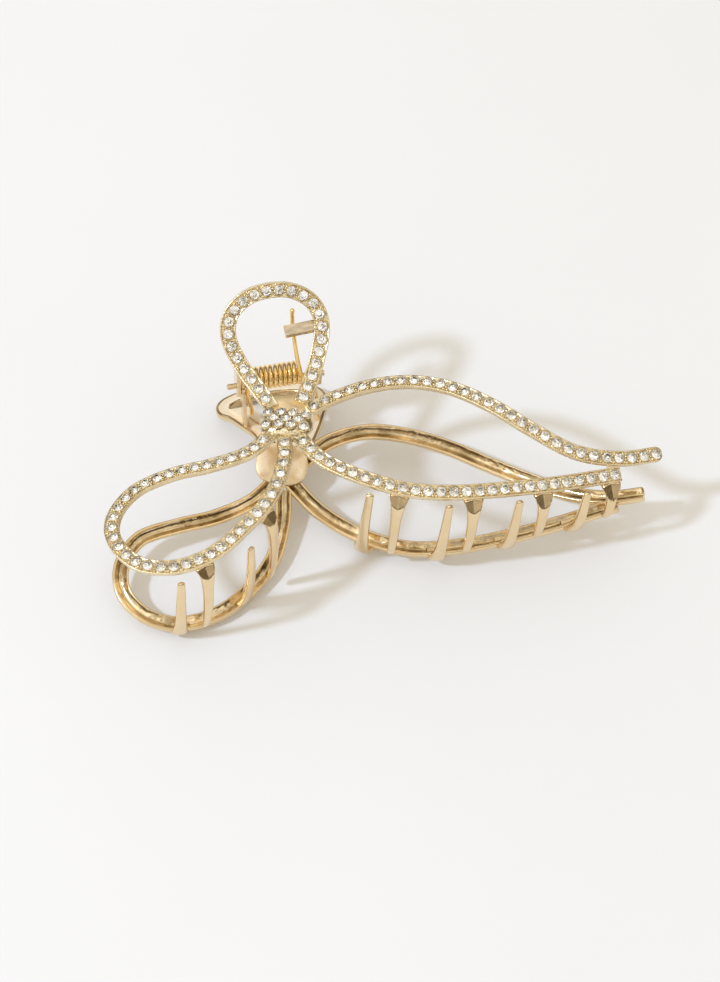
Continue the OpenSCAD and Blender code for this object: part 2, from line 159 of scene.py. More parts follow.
class Rail:
    """A plan outline laid on a jaw surface, asked for points and frames by length in mm."""

    def __init__(self, outline, lift):
        plan = catmull(outline, 24)
        self.points = np.column_stack([plan, lift(plan[:, 0], plan[:, 1])])
        steps = np.linalg.norm(np.diff(self.points, axis=0), axis=1)
        self.s = np.concatenate([[0], np.cumsum(steps)])
        self.length = self.s[-1]
        self.lift = lift

    def at(self, s):
        """Points at each length; the curve runs on straight past its ends."""
        inside = np.clip(s, 0, self.length)
        first, last = (unit(self.points[i] - self.points[i - 1]) for i in (1, -1))
        on = np.stack([np.interp(inside, self.s, self.points[:, k]) for k in range(3)], -1)
        over = (np.asarray(s) - inside)[..., None]
        return on + np.where(over < 0, first, last) * over

    def frame(self, s):
        """Point, direction, side and outward normal at each length."""
        s = np.asarray(s, float)
        p = self.at(s)
        along = unit(self.at(s + 0.4) - self.at(s - 0.4))
        x, y, e = p[..., 0], p[..., 1], 0.1
        here = self.lift(x, y)
        normal = unit(np.stack(
            [here - self.lift(x + e, y), here - self.lift(x, y + e), np.full_like(x, e)], -1))
        side = unit(np.cross(normal, along))
        return p, along, side, np.cross(along, side)


RAILS = {
    "handle": Rail(FRONT_HANDLE, front_handle_lift),
    "left": Rail(LEFT_LOOP, wing_lift),
    "upper": Rail(UPPER_BAR, wing_lift),
    "lower": Rail(LOWER_BAR, wing_lift),
    "back_handle": Rail(BACK_HANDLE, back_handle_lift),
    "back_left": Rail(BACK_LEFT, wing_lift),
    "back_upper": Rail(BACK_UPPER, wing_lift),
    "back_lower": Rail(BACK_LOWER, wing_lift),
}


def grain(p, wavelength, seed=0.0):
    """Smooth noise from -1 to 1 at each point."""
    q = np.asarray(p, float).reshape(-1, 3) / wavelength + seed
    flat = np.array([noise.noise(v) for v in q.tolist()])
    return flat.reshape(np.asarray(p).shape[:-1])


# ---------------------------------------------------------------- meshes
class Mesh:
    """Vertices and faces collected in millimetres, with a material index for each face."""

    def __init__(self):
        self.verts, self.faces, self.mats = [], [], []
        self.count = 0

    def add(self, verts, faces, mat=0):
        verts = np.asarray(verts, float).reshape(-1, 3)
        self.verts.append(verts)
        self.faces += [[i + self.count for i in f] for f in faces]
        self.mats += list(mat) if isinstance(mat, (list, tuple)) else [mat] * len(faces)
        self.count += len(verts)
        return self

    def skin(self, rings, loop=False):
        """Closed solid over rings (n, m, 3); the ring's points run clockwise seen along it."""
        rings = np.asarray(rings, float)
        n, m = rings.shape[:2]
        faces = []
        for i in range(n if loop else n - 1):
            a, b = i * m, (i + 1) % n * m
            for j in range(m):
                k = (j + 1) % m
                faces.append([a + j, b + j, b + k, a + k])
        if not loop:
            faces.append(list(range(m)))
            faces.append([(n - 1) * m + j for j in range(m - 1, -1, -1)])
        return self.add(rings, faces)

    def ball(self, centre, radius, up=(0, 0, 1), rows=6, cols=10):
        up = unit(up)
        a = unit(np.cross(up, [0.3, 1, 0.2]))
        b = np.cross(up, a)
        points = [np.asarray(centre) + up * radius]
        for i in range(1, rows):
            t = math.pi * i / rows
            for j in range(cols):
                f = 2 * math.pi * j / cols
                points.append(
                    np.asarray(centre)
                    + (a * math.cos(f) + b * math.sin(f)) * radius * math.sin(t)
                    + up * radius * math.cos(t))
        points.append(np.asarray(centre) - up * radius)
        last = len(points) - 1
        faces = [[0, 1 + j, 1 + (j + 1) % cols] for j in range(cols)]
        for i in range(rows - 2):
            for j in range(cols):
                k = (j + 1) % cols
                a0, b0 = 1 + i * cols, 1 + (i + 1) * cols
                faces.append([a0 + j, b0 + j, b0 + k, a0 + k])
        faces += [[last, last - cols + (j + 1) % cols, last - cols + j] for j in range(cols)]
        return self.add(points, faces)


def piece(name, mesh, body, materials, nodes, back=False, crease=40, smooth=True):
    """Object laid in the row frame; a back piece is mirrored, so its faces are turned round."""
    verts = np.vstack(mesh.verts)
    m = np.array(BACK_LAY if back else LAY)
    verts = verts @ m[:3, :3].T + m[:3, 3]
    faces = [f[::-1] for f in mesh.faces] if back else mesh.faces
    data = bpy.data.meshes.new(name)
    data.from_pydata(verts.tolist(), [], faces)
    data.polygons.foreach_set("material_index", mesh.mats)
    data.polygons.foreach_set("use_smooth", [smooth] * len(faces))
    if smooth:
        data.set_sharp_from_angle(angle=math.radians(crease))
    data.validate()
    data.update()
    for material in materials:
        data.materials.append(material)
    obj = bpy.data.objects.new(name, data)
    bpy.context.scene.collection.objects.link(obj)
    if body:
        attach(obj, body)
    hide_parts(*nodes)
    return obj


# ---------------------------------------------------------------- materials
def set_range(node, low, high, a, b):
    for key, value in (("From Min", low), ("From Max", high), ("To Min", a), ("To Max", b)):
        node.inputs[key].default_value = value


class Nodes:
    """Short forms for building a node tree."""

    def __init__(self, name):
        self.mat = bpy.data.materials.new(name)
        self.mat.use_nodes = True
        self.tree = self.mat.node_tree
        self.tree.nodes.clear()
        self.out = self.new("ShaderNodeOutputMaterial")
        self.coord = self.new("ShaderNodeTexCoord").outputs["Object"]

    def new(self, kind, **sockets):
        node = self.tree.nodes.new(kind)
        for key, value in sockets.items():
            self.put(node.inputs[key.replace("_", " ")], value)
        return node

    def put(self, socket, value):
        if isinstance(value, bpy.types.NodeSocket):
            self.tree.links.new(value, socket)
        else:
            socket.default_value = value

    def noise(self, scale, detail=3, rough=0.5):
        node = self.new("ShaderNodeTexNoise", Vector=self.coord, Scale=scale, Detail=detail)
        node.inputs["Roughness"].default_value = rough
        return node.outputs["Fac"]

    def ramp(self, fac, low, high, a, b):
        node = self.new("ShaderNodeMapRange", Value=fac)
        set_range(node, low, high, a, b)
        return node.outputs[0]

    def mix(self, fac, a, b):
        node = self.new("ShaderNodeMix")
        node.data_type = "RGBA"
        self.put(node.inputs["Factor"], fac)
        self.put(node.inputs["A"], a)
        self.put(node.inputs["B"], b)
        return node.outputs["Result"]

    def bump(self, height, distance):
        node = self.new("ShaderNodeBump", Height=height, Strength=1.0, Distance=distance)
        return node.outputs[0]


def metal(name, light, deep, rough, rough_span, grain_mm, grain_depth, satin=0.0):
    """Plated casting: colour drift, roughness patches and cast grain; satin dulls its mirror."""
    n = Nodes(name)
    drift = n.noise(180, 4, 0.6)
    patch = n.noise(900, 5, 0.6)
    colour = n.mix(n.ramp(drift, 0.35, 0.65, 0, 1), (*light, 1), (*deep, 1))
    colour = n.mix(n.ramp(patch, 0.55, 0.8, 0, 0.35), colour, (*[c * 0.72 for c in deep], 1))
    shader = n.new("ShaderNodeBsdfPrincipled", Base_Color=colour)
    shader.inputs["Metallic"].default_value = 1.0 - satin
    roughness = n.ramp(patch, 0.3, 0.75, rough, rough + rough_span)
    n.put(shader.inputs["Roughness"], roughness)
    fine = n.noise(1000 / grain_mm, 3, 0.6)
    normal = n.bump(fine, grain_depth * MM)
    n.put(shader.inputs["Normal"], normal)
    n.tree.links.new(shader.outputs[0], n.out.inputs[0])
    return n.mat


def crystal_material():
    n = Nodes("crystal_glass")
    tint = n.noise(400, 2)
    colour = n.mix(n.ramp(tint, 0.35, 0.65, 0, 1), (1, 1, 1, 1), (0.97, 0.98, 1, 1))
    shader = n.new("ShaderNodeBsdfPrincipled", Base_Color=colour)
    shader.inputs["Transmission Weight"].default_value = 1.0
    shader.inputs["IOR"].default_value = 1.56
    n.put(shader.inputs["Roughness"], n.ramp(n.noise(3000, 3), 0.4, 0.8, 0.0, 0.03))
    n.tree.links.new(shader.outputs[0], n.out.inputs[0])
    return n.mat


def foil_material():
    n = Nodes("silver_foil")
    stain = n.noise(1500, 3)
    colour = n.mix(n.ramp(stain, 0.45, 0.7, 0, 1), (0.97, 0.97, 0.97, 1), (0.84, 0.83, 0.8, 1))
    shader = n.new("ShaderNodeBsdfPrincipled", Base_Color=colour)
    shader.inputs["Metallic"].default_value = 1.0
    n.put(shader.inputs["Roughness"], n.ramp(stain, 0.4, 0.7, 0.02, 0.12))
    n.tree.links.new(shader.outputs[0], n.out.inputs[0])
    return n.mat


PALE = metal("pale_gold_set", (0.88, 0.76, 0.52), (0.80, 0.67, 0.43), 0.22, 0.14, 0.3, 0.02)
SATIN = metal("pale_gold_satin", (0.88, 0.70, 0.44), (0.84, 0.65, 0.38), 0.17, 0.07, 1.6, 0.004)
BRIGHT = metal("gold_polished", (0.88, 0.70, 0.43), (0.82, 0.62, 0.36), 0.13, 0.14, 0.7, 0.012)
# Darker gold with dark and light patches for the groove faces: painted shade and painted
# reflection in the groove
SHADED_GROOVE = metal("gold_groove_painted_shade", (0.96, 0.77, 0.49), (0.42, 0.31, 0.16), 0.08, 0.1, 1.0, 0.03)
DISH = metal("gold_dish", (1.0, 0.88, 0.70), (0.95, 0.80, 0.58), 0.3, 0.12, 1.2, 0.008, 0.8)
DISC = metal("gold_disc", (0.95, 0.80, 0.60), (0.80, 0.61, 0.36), 0.16, 0.14, 1.0, 0.015, 0.15)
# The tab's darker, greyer gold is painted reflection: it stands for the dark room mirrored on its
# top
TAB_METAL = metal("tab_plate", (0.68, 0.56, 0.40), (0.56, 0.46, 0.32), 0.1, 0.1, 1.0, 0.004)
PIN_METAL = metal("pin_plate", (0.88, 0.72, 0.47), (0.80, 0.62, 0.38), 0.16, 0.12, 0.6, 0.01)
SPRING_METAL = metal("spring_plate", (1.0, 0.77, 0.37), (0.95, 0.67, 0.25), 0.15, 0.1, 0.5,
                     0.008, 0.15)
CRYSTAL = crystal_material()
FOIL = foil_material()

# ---------------------------------------------------------------- stones
# Half a facet of a stone with eight of them
TURN = math.pi / 8


def ring(count, radius, z, start=0.0):
    a = start + 2 * math.pi * np.arange(count) / count
    return np.column_stack([radius * np.cos(a), radius * np.sin(a), np.full(count, z)])


def stone_shape():
    """Round brilliant: table, star, kite and girdle facets above, foiled pavilion below."""
    top, girdle, low, culet = STONE_TOP, 0.07, 0.0, -0.66
    table, mid, base = 0.56, 0.80, 0.55
    step = top - girdle
    mid_z = girdle + step * (1 - mid * math.cos(TURN)) / (1 - table)
    base_z = culet * (1 - base * math.cos(TURN))
    parts = [
        ring(8, table, top), ring(8, mid, mid_z, TURN), ring(16, 1, girdle),
        ring(16, 1, low), ring(8, base, base_z, TURN), [[0, 0, culet]],
    ]
    t, m, g, h, b, c = 0, 8, 16, 32, 48, 56
    faces, mats = [list(range(8))], [0]
    for i in range(8):
        j, g0, g1, g2 = (i + 1) % 8, 2 * i, 2 * i + 1, (2 * i + 2) % 16
        prev = (i - 1) % 8
        crown = [
            [t + i, m + i, t + j], [t + i, m + prev, g + g0, m + i],
            [m + i, g + g0, g + g1], [m + i, g + g1, g + g2],
            [g + g0, h + g0, h + g1, g + g1], [g + g1, h + g1, h + g2, g + g2],
        ]
        pavilion = [
            [b + i, h + g1, h + g0], [b + i, h + g2, h + g1],
            [c, b + i, h + g0, b + prev],
        ]
        faces += crown + pavilion
        mats += [0] * len(crown) + [1] * len(pavilion)
    return np.vstack(parts) * [STONE_R, STONE_R, 1], faces, mats


STONE = stone_shape()


def set_stone(mesh, p, along, side, up):
    """A stone, turned and tipped a little by chance."""
    turn = rng.uniform(0, math.tau)
    tip_a, tip_b = rng.gauss(0, 0.035), rng.gauss(0, 0.035)
    z = unit(up + along * tip_a + side * tip_b)
    x = unit(np.cross(side * math.cos(turn) + along * math.sin(turn), z))
    y = np.cross(z, x)
    verts, faces, mats = STONE
    verts = verts.copy()
    # no two stones are cut alike: the corners of the foiled back wander a little
    verts[48:] += [[rng.gauss(0, 0.05), rng.gauss(0, 0.05), rng.gauss(0, 0.035)]
                   for _ in range(len(verts) - 48)]
    mesh.add(p + verts @ np.array([x, y, z]), faces, mats)


# Section of the lip: share of the stone's radius, and height above its girdle's foot
COLLAR = [(1.03, -0.3), (1.03, 0.1), (1.05, 0.2), (1.09, 0.24), (1.14, 0.19), (1.18, 0.02),
          (1.18, -0.3)]


def collar(mesh, p, along, side, up):
    """Raised metal lip round a stone's girdle."""
    rings = []
    for a in np.arange(32) * math.tau / 32:
        out = along * math.cos(a) + side * math.sin(a)
        rings.append([p + out * q * STONE_R + up * h for q, h in COLLAR])
    mesh.skin(rings, loop=True)


# ---------------------------------------------------------------- bars set with stones
def stone_places(rail, count, first, last):
    return first + (rail.length - first - last) * np.arange(count) / (count - 1)


def end_taper(s, stop, r, half):
    """Share of the width left near a bar's end, rounded by radius r."""
    if not r:
        return np.ones_like(s)
    d = np.clip(1 - (stop - s) / r, 0, 1)
    return 1 - (1 - np.sqrt(np.maximum(1 - d * d, 0))) * r / half


BAR_STEP, BAR_EDGE = 0.11, 0.14
POCKET_FLOOR = -0.80
# The field between the stones, the ditch beside each collar and the notches in the rims
FIELD_DEPTH, DITCH_DEPTH, DITCH_R, RIM_W = 0.16, 0.12, 1.1, 0.26
NOTCH_DEPTH, NOTCH_RATE = 0.05, 11
# Beads between two stones: along and across the bar, in mm
BEAD_PLACES = [(-0.3, -0.72), (0.3, -0.76), (-0.3, 0.74), (0.3, 0.7), (0, 0.35), (0, -0.33)]


def set_bar(key, places, start, stop, stop_r):
    """Channel bar with pockets, grain, notched rims and beads between its stones."""
    rail, edge = RAILS[key], BAR_EDGE
    half = HANDLE_HALF if key == "handle" else FRONT_HALF
    s = np.linspace(start, stop, int((stop - start) / BAR_STEP))
    top = np.linspace(half - edge, -half + edge, 29)
    bottom, mid = -FRONT_SINK, FRONT_TOP
    arc = [(edge * math.sin(a), edge * (1 - math.cos(a))) for a in np.radians([67, 45, 22])]
    right = [(half - 0.34, bottom), (half - 0.1, bottom + 0.08), (half, bottom + 0.3),
             (half, mid - edge)] + [(half - edge + x, mid - y) for x, y in arc]
    outline = np.array(
        right + [(v, mid) for v in top] + [(-v, z) for v, z in right[::-1]])
    is_top = np.array([0] * 5 + [0.6, 0.8] + [1] * len(top) + [0.8, 0.6] + [0] * 5, float)
    p, along, side, up = rail.frame(s)
    share = end_taper(s, stop, stop_r, half)
    v = outline[None, :, 0] * share[:, None]
    z = np.broadcast_to(outline[None, :, 1], v.shape).copy()
    # distance of every point of the top from the nearest stone
    near = np.abs(s[:, None] - places[None, :]).min(1)
    r = np.hypot(near[:, None], v)
    pocket = r < STONE_R + 0.01
    z = np.where((is_top > 0.9) & pocket, POCKET_FLOOR, z)
    # the field between the stones lies lower than the rims and is cut deeper beside each collar
    inner = np.clip((half - RIM_W - np.abs(v)) / 0.12, 0, 1) * (~pocket) * (is_top > 0.9)
    ditch = np.clip(1 - np.abs(r - DITCH_R) / 0.12, 0, 1)
    z -= inner * (FIELD_DEPTH + DITCH_DEPTH * ditch)
    points = p[:, None] + side[:, None] * v[..., None] + up[:, None] * z[..., None]
    rough = grain(points, 0.32) * (0.02 + 0.06 * inner) + grain(points, 1.3, 5.0) * 0.03
    # notched rims
    rim = np.clip((np.abs(v) - half + 0.3) / 0.1, 0, 1) * is_top
    wander = grain(points, 3.0, 2.0) * 5
    notch = np.maximum(0, np.sin(s[:, None] * NOTCH_RATE + wander)) ** 2
    cut = rough * (~pocket) - NOTCH_DEPTH * notch * rim
    points += up[:, None] * (cut * is_top)[..., None]
    points += side[:, None] * (
        (grain(points, 2.2, 9.0) * 0.03 - 0.03 * notch * rim) * np.sign(v))[..., None]
    mesh = Mesh().skin(points)
    pitch = places[1] - places[0]
    for q in places + pitch / 2:
        if q > stop - 0.3:
            continue
        bp, ba, bs, bu = (a[0] for a in rail.frame([q]))
        for d, w in BEAD_PLACES:
            size = rng.uniform(0.18, 0.25)
            w *= rng.uniform(0.94, 1.06)
            centre = bp + ba * (d + rng.uniform(-0.05, 0.05)) + bs * w + bu * (mid - 0.1)
            mesh.ball(centre, size, bu, rows=5, cols=8)
    return mesh


def stone_row(bar_mesh, key, places):
    """Stones in their own mesh; their collars belong to the bar."""
    p, along, side, up = RAILS[key].frame(places)
    stones = Mesh()
    for q in zip(p, along, side, up):
        set_stone(stones, *q)
        collar(bar_mesh, *q)
    return stones


# Stones in a row, and the lengths of bar before the first and after the last
ROWS = {
    "handle": (24, 2.2, 1.4), "left": (38, 2.6, 1.8), "upper": (29, 3.5, 1.1),
    "lower": (27, 3.0, 1.2),
}
# Where a bar starts and stops, and the radius that rounds its far end
SPANS = {
    "handle": (0.1, RAILS["handle"].length - 0.1, 0),
    "left": (0, RAILS["left"].length, 0),
    "upper": (2.3, RAILS["upper"].length, 1.2),
    "lower": (1.2, RAILS["lower"].length, 0.35),
}
BAR_NODE = {
    "handle": "front_handle_loop", "left": "front_left_loop", "upper": "front_upper_bar",
    "lower": "front_lower_bar",
}
for key, (count, first, last) in ROWS.items():
    places = stone_places(RAILS[key], count, first, last)
    bar_mesh = set_bar(key, places, *SPANS[key])
    stones = stone_row(bar_mesh, key, places)
    node = BAR_NODE[key]
    piece("look_" + node, bar_mesh, "front_jaw", [PALE], [node], crease=50)
    piece(f"look_{key}_stones", stones, "front_jaw", [CRYSTAL, FOIL],
          [f"{key}_stones"], smooth=False)

# ---------------------------------------------------------------- knots
KNOT_TURN = math.radians(-18)
KNOT_SLOPE = math.radians(17)
# How square the outline of a knot is: 2 is an ellipse
FULL = 2.6


def knot_matrix(mid, drop):
    """Places a knot on the wings, turned and sloped with them."""
    x, y = mid
    m = (Matrix.Translation((x, y, wing_lift(x, y) - drop))
         @ Matrix.Rotation(-KNOT_SLOPE, 4, "X") @ Matrix.Rotation(KNOT_TURN, 4, "Z"))
    return np.array(m)


def pillow_rise(half, rise, u, v):
    f = (np.abs(u / half[0]) ** FULL + np.abs(v / half[1]) ** FULL) ** (1 / FULL)
    return rise * (1 - np.minimum(f, 1) ** 5)


def carry(m, points):
    return np.asarray(points) @ m[:3, :3].T + m[:3, 3]


def pillow(half, rise, depth, m, shape):
    """Closed pillow; shape(u, v, z) changes the height of its face."""
    cols, rows = 160, 56
    a = math.tau * np.arange(cols) / cols
    ca, sa = np.cos(a), np.sin(a)
    rx = half[0] * np.sign(ca) * np.abs(ca) ** (2 / FULL)
    ry = half[1] * np.sign(sa) * np.abs(sa) ** (2 / FULL)
    rings = [np.column_stack([rx * f, ry * f, np.full(cols, z)])
             for f, z in ((0.86, -depth), (0.96, -depth + 0.12), (1, -depth + 0.4), (1, -0.15))]
    for k in range(rows):
        f = 1 - k / rows
        u, v = rx * f, ry * f
        z = shape(u, v, pillow_rise(half, rise, u, v))
        rings.append(np.column_stack([u, v, z]))
    rings = [carry(m, r) for r in rings[::-1]]
    return Mesh().skin(rings)


FRONT_KNOT_HALF, FRONT_KNOT_RISE = (4.9, 2.9), 1.1
knot_m = knot_matrix((0.2, -14.7), FRONT_SINK - 0.6)
KNOT_PITCH, KNOT_ROW = 2.25, 1.45
knot_spots = [((i - (1 if row == 0 else 1.5)) * KNOT_PITCH, row * KNOT_ROW)
              for row in (-1, 0, 1) for i in range(3 if row == 0 else 4)]


def knot_normal(u, v):
    """Height and normal of the front knot at a spot of its face."""
    e = 0.1
    z = pillow_rise(FRONT_KNOT_HALF, FRONT_KNOT_RISE, u, v)
    zu = pillow_rise(FRONT_KNOT_HALF, FRONT_KNOT_RISE, u + e, v)
    zv = pillow_rise(FRONT_KNOT_HALF, FRONT_KNOT_RISE, u, v + e)
    return z, unit([z - zu, z - zv, e])


def knot_face(u, v, z):
    """Pockets under the stones and a fine grain between them."""
    r = np.min([np.hypot(u - a, v - b) for a, b in knot_spots], 0)
    points = np.column_stack([u, v, z])
    z = z + grain(points, 0.3, 3.0) * 0.08 * np.clip((1.7 - r) / 0.4, 0, 1)
    return np.where(r < 0.88, z - 1.0, z)


knot_mesh = pillow(FRONT_KNOT_HALF, FRONT_KNOT_RISE, 0.9, knot_m, knot_face)
knot_stones = Mesh()
turn = knot_m[:3, :3]
for u, v in knot_spots:
    z, up = knot_normal(u, v)
    up = unit(up + [0, 0, 0.8])
    side = unit(np.cross(up, [1, 0, 0]))
    along = np.cross(side, up)
    base = np.array([u, v, z]) + up * STONE_TOP
    q = (carry(knot_m, base), turn @ along, turn @ side, turn @ up)
    set_stone(knot_stones, *q)
    collar(knot_mesh, *q)
beads = [(u + KNOT_PITCH / 2 + du, v + dv) for u, v in knot_spots
         for du, dv in ((0, 0.6), (0, -0.6), (-1.1, 1.1), (-1.15, -1.1))]
for u, v in beads:
    gap = min(math.hypot(u - a, v - b) for a, b in knot_spots)
    if gap < 0.95 or abs(u) > 4.3 or abs(v) > 2.5:
        continue
    z, up = knot_normal(u, v)
    size = rng.uniform(0.17, 0.24)
    knot_mesh.ball(carry(knot_m, np.array([u, v, z + 0.02])), size, turn @ up)
# a row of beads along the lower rim
for u in np.arange(-4.2, 4.3, 0.56):
    v = -2.45 + rng.uniform(-0.06, 0.06)
    z, up = knot_normal(u, v)
    spot = carry(knot_m, np.array([u, v, z - 0.02]))
    knot_mesh.ball(spot, rng.uniform(0.16, 0.23), turn @ up, rows=5, cols=8)
piece("look_front_knot", knot_mesh, "front_jaw", [PALE], ["front_knot"], crease=50)
piece("look_knot_stones", knot_stones, "front_jaw", [CRYSTAL, FOIL], ["knot_stones"],
      smooth=False)


def back_knot_face(u, v, z):
    """Two soft creases where the bars leave the disc."""
    crease = np.exp(-((u * 0.75 + v * 0.9) / 0.4) ** 2) + np.exp(-((u * 0.8 - v) / 0.4) ** 2)
    edge = np.clip(np.hypot(u / 4.9, v / 4) - 0.35, 0, 1)
    points = np.column_stack([u, v, z])
    return z - 0.45 * crease * edge + grain(points, 1.5, 6.0) * (0.05 + 0.1 * np.clip(u, 0, 1))


back_knot = pillow((4.9, 4), 1.6, 0.7, knot_matrix((-0.6, -13), 0), back_knot_face)
piece("look_back_knot", back_knot, "back_jaw", [DISC], ["back_knot"], back=True)

# ---------------------------------------------------------------- plain grooved bars
# The radius that rounds each bar's far end
BACK_END_R = {"back_handle": 0.0, "back_left": 0.0, "back_upper": 0.5, "back_lower": 0.4}
BACK_NODE = {
    "back_handle": "back_handle_loop", "back_left": "back_left_loop",
    "back_upper": "back_upper_bar", "back_lower": "back_lower_bar",
}


GROOVE_HALF, GROOVE_DEPTH = 1.06, 0.72


def groove_outline():
    """Section from the inner face outwards: rounded rims, a round-bottomed groove, soft back."""
    half, t = BACK_HALF, BACK_T
    groove = [(v, GROOVE_DEPTH * (1 - (abs(v) / GROOVE_HALF) ** 1.7))
              for v in np.linspace(GROOVE_HALF, -GROOVE_HALF, 21)]
    left = [
        (-1.14, 0.03), (-1.2, 0), (-1.34, 0), (-1.44, 0.07), (-half, 0.22), (-half, 0.55),
        (-half, t - 0.75), (-1.42, t - 0.42), (-1.24, t - 0.17), (-0.9, t - 0.03), (-0.45, t),
    ]
    right = [(-v, z) for v, z in left[::-1]]
    return np.array(groove + left + right)[::-1]


def grooved_bar(key, stop_r):
    """Plain bar of the back jaw; the faces of its groove take the second material, which on all
    but the handle loop is a darker gold painted with shade and reflection.
    """
    rail = RAILS[key]
    n = int(rail.length / 0.22)
    s = np.linspace(0, rail.length, n)
    outline = groove_outline()
    p, along, side, up = rail.frame(s)
    share = end_taper(s, rail.length, stop_r, BACK_HALF)
    v = outline[None, :, 0] * share[:, None]
    z = np.broadcast_to(outline[None, :, 1], v.shape)
    points = p[:, None] + side[:, None] * v[..., None] + up[:, None] * z[..., None]
    inside = (np.abs(outline[:, 0]) < GROOVE_HALF) & (outline[:, 1] < 1.0)
    inside = inside.astype(float)[None, :]
    if key == "back_handle":
        # past its left leg the groove fades by four fifths to a smooth shallow dish
        dish = np.clip((s - 12) / 3, 0, 1) * 0.8
        points = points - up[:, None] * ((inside * outline[:, 1]) * dish[:, None])[..., None]
    # the groove is as cast: long flat dents, and rough patches here and there
    patch = np.clip(grain(points, 6.0, 2.0) * 2.6 + 0.2, 0, 1)
    rough = grain(points, 0.5, 1.0) * 0.09 * patch + grain(points, 2.2, 4.0) * 0.09
    points = points + up[:, None] * (rough * inside)[..., None]
    points += side[:, None] * (grain(points, 1.6, 7.0) * 0.035 * (1 - inside))[..., None]
    mesh = Mesh().skin(points)
    # the groove faces take the second material; off the handle loop its dark gold is painted shade
    cast = (inside[0] > 0) & (np.roll(inside[0], -1) > 0)
    mesh.mats[:(n - 1) * len(outline)] = [int(c) for c in cast] * (n - 1)
    return mesh


for key, stop_r in BACK_END_R.items():
    node = BACK_NODE[key]
    # the darker gold in the grooves of these bars is painted shade and reflection; the handle
    # loop's dish keeps the pale gold
    inner = DISH if key == "back_handle" else SHADED_GROOVE
    piece("look_" + node, grooved_bar(key, stop_r), "back_jaw", [BRIGHT, inner], [node],
          back=True, crease=45)

# ---------------------------------------------------------------- teeth
FRONT_TEETH = [18, 30.8, 43.6, 56.4, -7.4, -19.4]
BACK_TEETH = [12.3, 24.8, 37.3, 49.8, -12.8, -24.4]
LOW_RIGHT = catmull(LOWER_BAR, 24)
LOW_LEFT = np.array([p for p in catmull(LEFT_LOOP, 24)
                     if p[1] < p[0] * 0.35 - 27 or (p[0] > -4 and p[1] < -24)])
REACH, ROOT_HALF, FRONT_LEAN, BACK_LEAN = 3.1, 1.9, 1.1, 1.6


def low_y(x):
    """Where the lower edge of the wings lies at x."""
    low = LOW_RIGHT if x > 0 else LOW_LEFT
    order = np.argsort(low[:, 0])
    return float(np.interp(x, low[order, 0], low[order, 1]))


def tooth(x, profile, ramp=None, set_in=0.0):
    """Blade swept down a profile of [outwards, height, half width, half depth, sideways]."""
    y = low_y(x)
    run = unit([1, low_y(x + 0.5) - low_y(x - 0.5), 0])
    out = np.cross(run, [0, 0, 1])
    line = catmull(profile, 10)
    centre = ((line[:, 0:1] - set_in) * out + line[:, 1:2] * [0, 0, 1] + line[:, 4:5] * run
              + [x, y, 0])
    path = unit(np.gradient(line[:, 0:1] * out + line[:, 1:2] * [0, 0, 1], axis=0))
    thick = np.cross(path, run)
    face = [(u, 1.0 - 0.5 * abs(u) ** 2.4) for u in np.linspace(0.84, -0.84, 17)]
    left = [(-0.95, 0.42), (-1.0, 0.15), (-1.0, -0.4), (-0.9, -0.85)]
    foot = [(-0.6, -1.0), (0, -1.0), (0.6, -1.0)]
    section = np.array(face + left + foot + [(-u, w) for u, w in left[::-1]])
    rings = (centre[:, None]
             + run * (line[:, 2:3] * section[None, :, 0])[..., None]
             + thick[:, None] * (line[:, 3:4] * section[None, :, 1])[..., None])
    if ramp:
        # the root is cut back by a ramp that narrows to a point, with a valley down its middle
        top, bar_out, slope, valley = ramp
        local = rings - [x, y, 0]
        o, u, z = local @ out, local @ run, local[..., 2]
        down = np.maximum(top - z, 0)
        past = np.maximum(np.abs(u) - ROOT_HALF * (1.05 - down / 2.6), 0)
        limit = bar_out + slope * down + valley * np.abs(u) + 1.8 * past
        rings = rings - out * np.clip(o - limit, 0, 3)[..., None]
    rings = rings + thick[:, None] * (grain(rings, 1.6, x) * 0.02)[..., None]
    return Mesh().skin(rings[:, ::-1])


def front_tooth(x):
    h = wing_lift(x, low_y(x))
    root, lean = h - FRONT_SINK, -FRONT_LEAN
    profile = [
        [0.7, root - 0.15, ROOT_HALF, 0.3, 0], [1.5, root - 0.35, ROOT_HALF * 0.92, 0.65, 0],
        [2.15, root - 1.1, ROOT_HALF * 0.76, 0.72, 0],
        [REACH - 0.3, h * 0.5, 1.05, 0.7, lean * 0.2],
        [REACH, -h * 0.1, 0.9, 0.62, lean * 0.5],
        [REACH - 0.3, -h * 0.6, 0.75, 0.5, lean * 0.8],
        [REACH - 0.6, -h + 2.4, 0.66, 0.42, lean],
        [REACH - 0.68, -h + 1.95, 0.55, 0.36, lean], [REACH - 0.73, -h + 1.65, 0.33, 0.25, lean],
        [REACH - 0.75, -h + 1.55, 0.1, 0.1, lean],
    ]
    return tooth(x, profile, (root, FRONT_HALF - 0.25, 0.95, 0.25))


